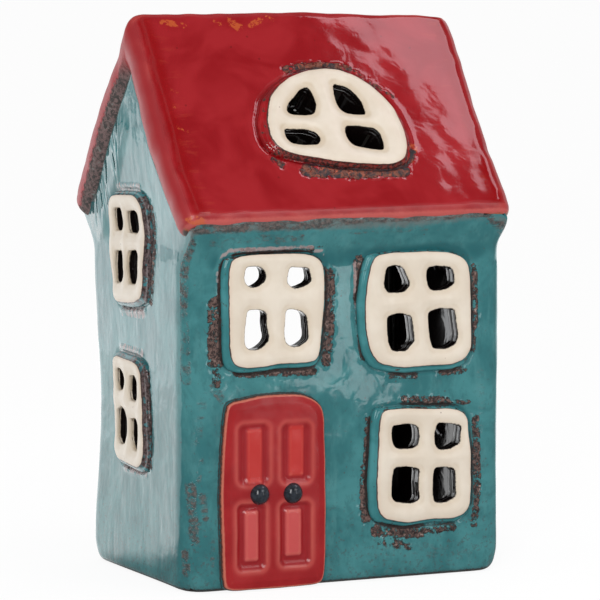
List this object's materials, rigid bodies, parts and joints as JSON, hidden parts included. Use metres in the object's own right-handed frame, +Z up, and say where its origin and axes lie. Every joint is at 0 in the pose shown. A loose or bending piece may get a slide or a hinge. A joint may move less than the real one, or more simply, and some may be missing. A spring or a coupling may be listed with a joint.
{
  "type": "ceramic tealight holder",
  "caption": "Hand-built glazed ceramic house that holds a tealight, with a thick pitched roof, cut window panes, a relief door and an arched opening at the back.",
  "frame": {"origin": "under the middle of the house, on the surface that it stands on", "axes": "+Z up, -Y out of the front wall with the door, +X to the right of someone who looks at the door"},
  "size_m": [0.109, 0.0846, 0.1643],
  "materials": {
    "teal_glaze": "glossy teal glaze that breaks brown at edges",
    "roof_glaze": "glossy deep red glaze, lighter at edges",
    "door_glaze": "glossy red glaze, orange at edges",
    "cream_glaze": "satin cream glaze with brown at the foot",
    "knob_glaze": "glossy black-grey glaze",
    "bare_clay": "unglazed fired clay, dark glaze inside",
    "cup_metal": "thin pressed foil cup",
    "wax": "white paraffin wax",
    "wick_cotton": "waxed cotton braid",
    "wick_foot_metal": "tinned steel"
  },
  "bodies": {
    "house": {"base_slab": "bare_clay", "front_wall": "teal_glaze", "rear_wall": "teal_glaze", "left_gable_wall": "teal_glaze", "right_gable_wall": "teal_glaze", "front_roof_slab": "roof_glaze", "rear_roof_slab": "roof_glaze", "window_front_upper_left": "cream_glaze", "window_front_upper_right": "cream_glaze", "window_front_lower_right": "cream_glaze", "window_left_upper": "cream_glaze", "window_left_lower": "cream_glaze", "window_right_upper": "cream_glaze", "window_right_lower": "cream_glaze", "roof_window": "cream_glaze", "front_door": "door_glaze", "door_knob_left": "knob_glaze", "door_knob_right": "knob_glaze"},
    "tealight": {"tealight_cup": "cup_metal", "tealight_wax": "wax", "wick": "wick_cotton", "wick_sustainer": "wick_foot_metal"}
  },
  "joints": [
    {"name": "tealight_slide", "type": "slide", "parent": "house", "child": "tealight", "axis": [0, 1, 0], "range_m": [0, 0.075]}
  ]
}
